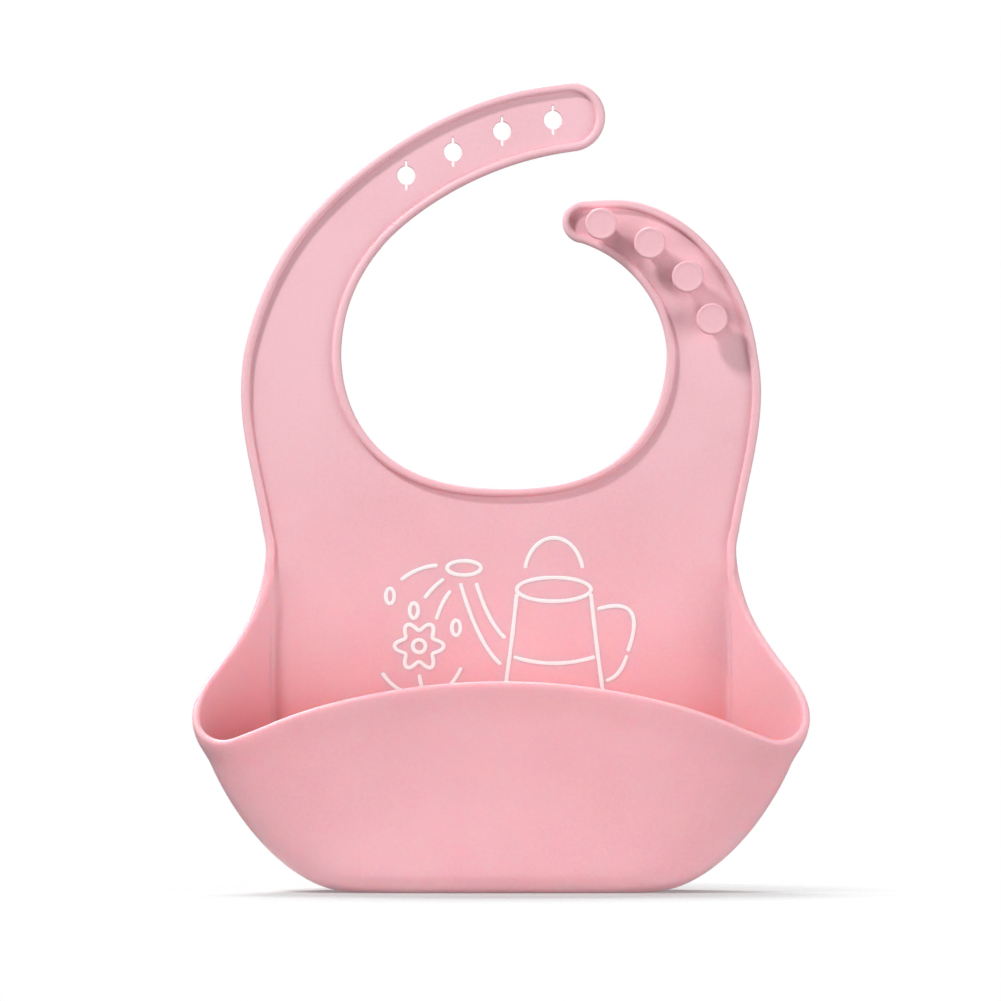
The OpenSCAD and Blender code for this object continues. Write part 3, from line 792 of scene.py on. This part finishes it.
floor_rim = middle(COLS, np.zeros_like(COLS))
base_inner = np.stack([base_line[1:-1, 0], np.full(base_n - 2, HALF_T)], -1)
floor_loop = np.concatenate([floor_rim[:, :2], base_inner])
floor_v, floor_f = triangulate([floor_loop], 3.0, floor_loop, 1.7, 8)
foot_x = np.clip(floor_v[:, 0], -BASE_X, BASE_X)
foot_c = np.stack([foot_x, np.full(len(floor_v), HALF_T), np.full(len(floor_v), floor_rim[0, 2])], -1)
floor_p = np.stack([floor_v[:, 0], floor_v[:, 1], foot_c[:, 2]], -1)
gap_d = np.linalg.norm(floor_p - foot_c, axis=1)
straight = np.where((gap_d > 1e-6)[:, None], unit(floor_p - foot_c), unit(np.array([[0.0, -1.0, 0.0]])))
floor_p = bend_bowl(floor_p, foot_c, np.zeros_like(floor_p) + (0, 0, -1), straight,
                    np.full(len(floor_p), ridge_l[0]), gap_d)


def snap(flat, moved, marks, targets):
    """Puts the points that lie on the marks exactly at the targets."""
    for mark, target in zip(marks, targets):
        moved[((flat - mark) ** 2).sum(1) < 1e-6] = target


snap(floor_v, floor_p, floor_rim[:, :2], grid[:, 0])
snap(panel_v, panel_p, crease_xz, grid[0, :len(ROWS)])
snap(panel_v, panel_p, crease_xz * (-1, 1), grid[-1, :len(ROWS)])
for bx, bz in base_line[1:-1]:
    here = floor_p[((floor_v - (bx, HALF_T)) ** 2).sum(1) < 1e-6]
    snap(panel_v, panel_p, [(bx, bz)], here[:1])

body = Sheet()
body.add(panel_p, panel_f)
body.add(grid.reshape(-1, 3), grid_f, flip=True)
body.add(floor_p, floor_f)
body_p = np.array(body.v)


def relax(sheet, pts, centre, radius, rounds):
    """Evens out the surface and its edge round a place, less and less towards the radius."""
    rim_pairs = np.array([(a, b) for loop in sheet.boundary() for a, b in zip(loop, loop[1:] + loop[:1])])
    on_rim = np.zeros(len(pts), bool)
    on_rim[rim_pairs[:, 0]] = True
    pairs = {(min(a, b), max(a, b)) for q in sheet.f for a, b in zip(q, q[1:] + q[:1])}
    pairs = np.array(sorted(pairs))
    pairs = np.concatenate([pairs, pairs[:, ::-1]])
    pairs = pairs[~on_rim[pairs[:, 0]]]
    pairs = np.concatenate([pairs, rim_pairs, rim_pairs[:, ::-1]])
    pull = 0.5 * ease(1 - np.linalg.norm(pts - centre, axis=1) / radius)[:, None]
    pairs = pairs[pull[pairs[:, 0], 0] > 0]
    count = np.maximum(1, np.bincount(pairs[:, 0], minlength=len(pts)))[:, None]
    for _ in range(rounds):
        total = np.zeros_like(pts)
        np.add.at(total, pairs[:, 0], pts[pairs[:, 1]])
        pts = np.where(pull > 0, mix(pts, total / count, pull), pts)
    return pts


# The pocket's upper corners, and then its ears: place, radius and rounds
for side in (-1, 1):
    body_p = relax(body, body_p, np.array([side * 87.0, 0.0, 119.0]), 17, 60)
    body_p = relax(body, body_p, np.array([side * 113.0, -33.0, 64.0]), 20, 40)


def lip_half(p, lip):
    """Half thickness: the wall swells gently towards its rounded lip."""
    return HALF_T + (LIP_HALF - HALF_T) * (1 - ease(gaps(p, lip) / 12))


def runs(on_cut):
    """Stretches of an edge loop between its cuts, corners included."""
    n = len(on_cut)
    inside_cut = [on_cut[i] and on_cut[i - 1] and on_cut[(i + 1) % n] for i in range(n)]
    start = inside_cut.index(True)
    found, now = [], []
    for k in range(n + 1):
        i = (start + k) % n
        if inside_cut[i]:
            if now:
                found.append(now)
            now = []
        else:
            now.append(i)
    return found


body_cuts = [(arm.centre(t), along(arm, t)) for arm, t in ((LONG, LONG_CUT), (SHORT, SHORT_CUT))]
body_v, body_f, body_frames = thicken(body, body_p, lip_half(body_p, grid[:, -1]), body_cuts)

# The bead runs round the neck and down the sides, and sinks into the lip past the pocket's corners
SINK_FROM, SINK_TO, BEAD_END = -8, 26, 28    # places along the edge, measured from the corner
beads = []
p, n, w, h, on_cut = body_frames[0]
for run in runs(on_cut):
    q = p[run]
    s = np.concatenate([[0], np.cumsum(np.linalg.norm(np.diff(q, axis=0), axis=1))])
    if q[:, 2].min() > LIP_SIDE + 4:    # round the neck
        beads.append(bead(q, n[run], w[run], h[run]))
        continue
    for side in (-1, 1):
        corner = np.argmin(np.abs(q[:, 2] - LIP_SIDE) + 1000 * (np.sign(q[:, 0]) != side))
        past = (s - s[corner]) * -side * np.sign(q[-1, 0] - q[0, 0])
        part = [i for i in range(len(run)) if past[i] < BEAD_END and np.sign(q[i, 0]) == side]
        pick = [run[i] for i in part]
        fade = ease((past[part] - SINK_FROM) / (SINK_TO - SINK_FROM))
        beads.append(bead(p[pick], n[pick], w[pick], h[pick], fade))

bib_body = to_mesh("bib_body", body_v, body_f)
bib_body = fuse(bib_body, [to_mesh(f"bead_{i}", *b) for i, b in enumerate(beads)])
smooth(bib_body)
bib_body.data.materials.append(SHEET_MAT)

# ---------------------------------------------------------------- straps

HOLE_R, SLIT_HALF, SLIT_REACH = 3.4, 0.4, 5.5


def keyhole(at, grow):
    """Round strap hole with a slit above and below it."""
    r, s = HOLE_R + grow, SLIT_HALF + grow
    straight = SLIT_REACH + grow - s
    b = math.degrees(math.asin(s / r))
    angles = list(np.linspace(90 - b, -90 + b, 22))
    right = [(r * math.cos(math.radians(a)), r * math.sin(math.radians(a))) for a in angles]
    round_end = np.radians(np.linspace(0, -180, 7))
    end = [(s * math.cos(a), -straight + s * math.sin(a)) for a in round_end]
    left = [(-x, -y) for x, y in right]
    top = [(-x, -y) for x, y in end]
    return np.array(right + end + left + top) + at


def beside(arm, t, off):
    """Point off millimetres outwards from a strap's middle line at station t."""
    return arm.centre(t) + off * arm.normal(t)


def strap(name, arm, t0, t1, holes=()):
    """Part of a strap arm from station t0 to t1, or to its rounded end where t1 is None."""
    last = arm.end if t1 is None else t1
    t = arm_stations(t0, last)
    if t1 is None:
        a = np.radians(arm.normal_angle(last) + arm.turn * np.linspace(0, 180, 40))
        far = list(arm.centre(last) + (arm.h(last) - EDGE_IN) * np.stack([np.cos(a), np.sin(a)], -1))
    else:
        far = cut_line(arm, last, EDGE_IN)
    loop = np.concatenate([arm.edge(t, 1, EDGE_IN)[:-1], far[:-1], arm.edge(t[::-1], -1, EDGE_IN)[:-1],
                           cut_line(arm, t0, EDGE_IN)[::-1][:-1]])
    rims_2d = [keyhole(beside(arm, *s), 0.3) for s in holes]
    near = np.concatenate(rims_2d) if rims_2d else None
    v, f = triangulate([loop] + rims_2d, 1.8, near, 0.9, 3.5)
    flat = Sheet()
    flat.add(flat3(v), f)
    pts = np.array(flat.v)
    cuts = [(arm.centre(t0), -along(arm, t0))]
    if t1 is not None:
        cuts.append((arm.centre(t1), along(arm, t1)))
    verts, faces, frames = thicken(flat, pts, np.full(len(pts), HALF_T), cuts)
    p, n, w, h, on_cut = frames[0]
    rims = [to_mesh("rim", *bead(p[r], n[r], w[r], h[r])) for r in runs(on_cut)]
    piece = smooth(fuse(to_mesh(name, verts, faces), rims))
    piece.data.materials.append(STRAP_MAT)
    return piece


# Station of each hole, and its place across the strap, out from the middle line
HOLES = ((61.5, 1.6), (76.0, 0.3), (89.8, 0.6), (102.0, 0.0))
# Each piece with its arm, its bend's station, half length and joint, and the CAD nodes it replaces
straps = [
    (strap("long_strap_root", LONG, LONG_CUT, 42.0), LONG, 22.0, 12.0, "long_root_bend",
     ("long_flex_root", "long_link_1", "long_link_1_beads")),
    (strap("long_strap_middle", LONG, 42.0, 68.7, HOLES[:1]), LONG, 52.0, 10.0, "long_mid_bend",
     ("long_flex_mid", "long_link_2", "long_link_2_beads")),
    (strap("long_strap_end", LONG, 68.7, None, HOLES[1:]), LONG, 83.0, 14.0, "long_tip_bend",
     ("long_flex_tip", "long_link_3", "long_link_3_bead")),
    (strap("short_strap_root", SHORT, SHORT_CUT, 29.6), SHORT, 15.5, 5.5, "short_root_bend",
     ("short_flex_root", "short_link_1", "short_link_1_beads")),
    (strap("short_strap_end", SHORT, 29.6, None), SHORT, 44.5, 6.0, "short_tip_bend",
     ("short_flex_tip", "short_link_2", "short_link_2_bead")),
]

# ---------------------------------------------------------------- studs

# Outline of a stud: radius, and height above the sheet's front face
STUD = np.array([
    (0, -0.6), (4.5, -0.6), (4.3, 0.0), (3.95, 0.25), (3.68, 0.6), (3.54, 1.05), (3.5, 1.6), (3.5, 4.6),
    (3.54, 5.1), (3.68, 5.5), (3.95, 5.82), (4.4, 5.98), (5.1, 6.02), (5.5, 6.08), (5.78, 6.24),
    (5.94, 6.52), (6.0, 6.9), (6.0, 7.9), (5.98, 8.25), (5.9, 8.58), (5.74, 8.82), (5.5, 8.96),
    (5.2, 9.0), (4.95, 8.96), (4.7, 8.88), (4.3, 8.82), (3.2, 8.8), (1.6, 8.8), (0, 8.8),
])


def stud(name, centre):
    """Turned stud with a stem and a broad head."""
    n = 72
    ring = np.radians(np.arange(n) * 360 / n)
    verts = [(centre[0], -STUD[0, 1], centre[1])]
    for r, y in STUD[1:-1]:
        verts += [(centre[0] + r * c, -y, centre[1] + r * s) for c, s in zip(np.cos(ring), np.sin(ring))]
    verts.append((centre[0], -STUD[-1, 1], centre[1]))
    faces = [[0, 1 + (i + 1) % n, 1 + i] for i in range(n)]
    for j in range(len(STUD) - 3):
        a = 1 + j * n
        faces += [[a + i, a + (i + 1) % n, a + n + (i + 1) % n, a + n + i] for i in range(n)]
    a, top = 1 + (len(STUD) - 3) * n, len(verts) - 1
    faces += [[a + i, a + (i + 1) % n, top] for i in range(n)]
    obj = to_mesh(name, verts, faces)
    outward(obj)
    smooth(obj, 50)
    obj.data.materials.append(STUD_MAT)
    return obj


# ---------------------------------------------------------------- printed drawing

LINE_W, INK_T = 1.5, 0.2


def bez(p, q, r, n=24):
    """Curve from p to r that leans towards q."""
    u = np.linspace(0, 1, n)[:, None]
    p, q, r = (np.array(c, float) for c in (p, q, r))
    return (1 - u) ** 2 * p + 2 * u * (1 - u) * q + u**2 * r


def oval(c, rx, rz, a0=0.0, a1=360.0, n=72, lobes=0.0):
    """Part of an oval round c, with six lobes where lobes is above 0."""
    a = np.radians(np.linspace(a0, a1, n + 1))
    grow = 1 + lobes * np.cos(6 * a)
    return np.stack([c[0] + rx * grow * np.cos(a), c[1] + rz * grow * np.sin(a)], -1)


def ink_line(path, lift):
    """Raised line of ink with round ends, or a closed ring where its ends meet."""
    path = np.asarray(path, float)
    s = np.concatenate([[0], np.cumsum(np.linalg.norm(np.diff(path, axis=0), axis=1))])
    n = max(6, int(s[-1] / 0.5))
    closed = np.linalg.norm(path[0] - path[-1]) < 1e-6
    half = LINE_W / 2
    at = np.linspace(0, s[-1], n)
    if not closed:
        cap = half * (1 - np.cos(np.linspace(0, math.pi / 2, 7)))
        at = np.concatenate([cap, at[(at > half) & (at < s[-1] - half)], s[-1] - cap[::-1]])
    p = np.stack([np.interp(at, s, path[:, i]) for i in (0, 1)], -1)
    if closed:
        p = p[:-1]
        t = unit(np.roll(p, -1, 0) - np.roll(p, 1, 0))
        width = np.full(len(p), half)
    else:
        t = unit(np.gradient(p, axis=0))
        end = np.minimum(at, s[-1] - at)
        width = half * np.sqrt(np.maximum(1e-3, 1 - np.maximum(0, 1 - end / half) ** 2))
    width = width * (1 + 0.05 * np.sin(at[:len(p)] * 0.55 + path[0, 0]))
    side = np.stack([-t[:, 1], t[:, 0]], -1)
    top = INK_T + lift
    shape = [(-1, 0.04), (-1, -0.35 * top), (-0.86, -0.82 * top), (-0.55, -top), (0.55, -top),
             (0.86, -0.82 * top), (1, -0.35 * top), (1, 0.04)]
    verts = np.concatenate([
        [(q[0] + k * wd * sd[0], y, q[1] + k * wd * sd[1]) for k, y in shape]
        for q, sd, wd in zip(p, side, width)])
    m, count = len(shape), len(p)
    faces = []
    for i in range(count if closed else count - 1):
        for j in range(m):
            i2, j2 = (i + 1) % count, (j + 1) % m
            faces.append([i * m + j, i * m + j2, i2 * m + j2, i2 * m + j])
    if not closed:
        faces += [list(range(m))[::-1], [(count - 1) * m + j for j in range(m)]]
    return verts, faces


DRAWING = {
    "drawn_can": (["print_can"], [
        bez([6, 112], [4, 92], [1, 72]), bez([34, 112], [36, 92], [39, 72]),
        oval([20, 113.5], 14, 4.5), bez([4.6, 88], [20, 83], [35.6, 88])]),
    "drawn_handles": (["print_can_handle"], [
        bez([36.4, 106], [56, 112], [48, 90]), bez([47.7, 88.6], [45, 80], [39.6, 79]),
        oval([20, 119], 11, 14, 10, 170, 40)]),
    "drawn_spout": (["print_can_spout"], [
        bez([0, 85], [-9, 93], [-15.4, 116]), bez([1.6, 95], [-5, 101], [-9.4, 116]),
        oval([-14, 121.6], 6.4, 2.7)]),
    "drawn_water": (["print_water"], [
        bez([-21.5, 117.5], [-26, 114.5], [-29, 110]), bez([-19, 113], [-22.5, 109], [-24.5, 102]),
        bez([-24, 122.5], [-31, 122.5], [-38, 117]), oval([-33, 105.5], 1.6, 2.9, n=40),
        oval([-42, 111], 1.6, 2.9, n=40), oval([-17, 99], 1.6, 2.9, n=40)]),
    "drawn_flower": (["print_flower"], [
        oval([-31, 92], 7.6, 7.6, n=180, lobes=0.22), oval([-31, 92], 2.4, 2.4, n=40)]),
    "drawn_stem": (["print_flower_stem"], [
        bez([-31, 81.4], [-30, 75], [-27, 68]), bez([-28.4, 73], [-20, 73], [-15, 84]),
        bez([-31.6, 74], [-40, 74], [-45, 82])]),
}


def joined(name, parts):
    """One object from several shells."""
    verts, faces, k = [], [], 0
    for v, f in parts:
        verts.append(v)
        faces += [[i + k for i in q] for q in f]
        k += len(v)
    return to_mesh(name, np.concatenate(verts), faces)


def outward_parts(obj):
    """Turns every separate shell outwards."""
    bm = bmesh.new()
    bm.from_mesh(obj.data)
    bmesh.ops.recalc_face_normals(bm, faces=bm.faces)
    bm.to_mesh(obj.data)
    bm.free()


# Each line is a little lower than the one before, so that no two tops share a plane
LINE_STEP = -0.012
drawing = []
for name, (cad_nodes, lines) in DRAWING.items():
    obj = joined(name, [ink_line(q, LINE_STEP * i) for i, q in enumerate(lines)])
    outward_parts(obj)
    smooth(obj, 60)
    obj.data.materials.append(INK_MAT)
    drawing.append((obj, cad_nodes))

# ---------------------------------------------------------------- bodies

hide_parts("chest_panel", "neck_bead", "side_bead_left", "side_bead_right", "pocket_floor",
            "pocket_side_left", "pocket_side_right", "pocket_side_lip_left", "pocket_side_lip_right",
            "pocket_gusset_left", "pocket_gusset_right", "pocket_gusset_lip_left", "pocket_gusset_lip_right",
            "pocket_base_flex", "pocket_front_wall", "pocket_front_lip")
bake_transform(bib_body)

for piece, arm, station, spread, joint, cad_nodes in straps:
    step = along(arm, station) * spread * MM
    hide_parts(*cad_nodes)
    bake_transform(piece)

# Station, place across the strap and body of each stud
STUDS = {"stud_4": (9.0, 2.9, "chest"), "stud_3": (22.1, 1.85, "short_arm_1"),
         "stud_2": (36.6, 0.8, "short_arm_1"), "stud_1": (52.8, 0.0, "short_arm_2")}
for node, (station, off, carrier) in STUDS.items():
    piece = stud("button_" + node[-1], beside(SHORT, station, off))
    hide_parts(node)
    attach(piece, carrier)

for piece, cad_nodes in drawing:
    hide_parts(*cad_nodes)
    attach(piece, "chest")

# ---------------------------------------------------------------- floor and light

# The surroundings look white but give only a little light
world = bpy.data.worlds.new("studio")
bpy.context.scene.world = world
world.use_nodes = True
tree = world.node_tree
tree.nodes.clear()
sky_out = tree.nodes.new("ShaderNodeOutputWorld")
sky = tree.nodes.new("ShaderNodeBackground")
sky.inputs["Color"].default_value = (1, 1, 1, 1)
ray = tree.nodes.new("ShaderNodeLightPath")
tree.links.new(ranged(tree, ray.outputs["Is Camera Ray"], 0, 1, 0.05, 1.0), sky.inputs["Strength"])
tree.links.new(sky.outputs[0], sky_out.inputs["Surface"])

# Pale floor that takes the soft shadow and fades into the white further out
FLOOR_HALF = 0.6
floor_corners = [(x * FLOOR_HALF, y * FLOOR_HALF, 0) for x, y in ((-1, -1), (1, -1), (1, 1), (-1, 1))]
floor_mesh = bpy.data.meshes.new("floor")
floor_mesh.from_pydata(floor_corners, [], [(0, 1, 2, 3)])
floor = bpy.data.objects.new("floor", floor_mesh)
bpy.context.scene.collection.objects.link(floor)
floor_mat = bpy.data.materials.new("floor")
tree, shader = nodes_of(floor_mat)
shader.inputs["Base Color"].default_value = (0.5, 0.5, 0.5, 1)
shader.inputs["Roughness"].default_value = 0.9
shader.inputs["Specular IOR Level"].default_value = 0
shader.inputs["Emission Color"].default_value = (1, 1, 1, 1)
shader.inputs["Emission Strength"].default_value = 0.16
squeeze = tree.nodes.new("ShaderNodeMapping")
squeeze.inputs["Scale"].default_value = (1 / 0.14, 1 / 0.11, 1)
distance = tree.nodes.new("ShaderNodeVectorMath")
distance.operation = "LENGTH"
clear = tree.nodes.new("ShaderNodeBsdfTransparent")
fade = tree.nodes.new("ShaderNodeMixShader")
tree.links.new(tree.nodes.new("ShaderNodeTexCoord").outputs["Object"], squeeze.inputs["Vector"])
tree.links.new(squeeze.outputs[0], distance.inputs[0])
tree.links.new(ranged(tree, distance.outputs["Value"], 0.5, 1.1, 0, 1), fade.inputs[0])
tree.links.new(shader.outputs[0], fade.inputs[1])
tree.links.new(clear.outputs[0], fade.inputs[2])
end = next(node for node in tree.nodes if node.type == "OUTPUT_MATERIAL")
tree.links.new(fade.outputs[0], end.inputs["Surface"])
floor_mesh.materials.append(floor_mat)


def lamp(name, direction, distance, size, power):
    """Round soft light that faces the middle of the bib."""
    light = bpy.data.lights.new(name, "AREA")
    light.shape, light.size, light.energy = "DISK", size, power
    obj = bpy.data.objects.new(name, light)
    bpy.context.scene.collection.objects.link(obj)
    away = Vector(direction).normalized()
    obj.location = Vector((0, 0, 0.15)) + away * distance
    obj.rotation_euler = (-away).to_track_quat("-Z", "Y").to_euler()


# Name, direction from the bib, distance, diameter and power
lamp("key", (-0.507, -0.395, 0.752), 1.6, 0.22, 18.5)
lamp("front", (0, -1, 0.15), 1.8, 1.2, 4.5)
lamp("right", (0.85, -0.5, 0.0), 1.6, 1.2, 18)
lamp("left", (-0.85, -0.4, 0.0), 1.6, 1.2, 10.5)
lamp("back", (-0.25, 0.5, 0.85), 1.6, 0.8, 32)

bpy.context.scene.view_settings.view_transform = "Standard"
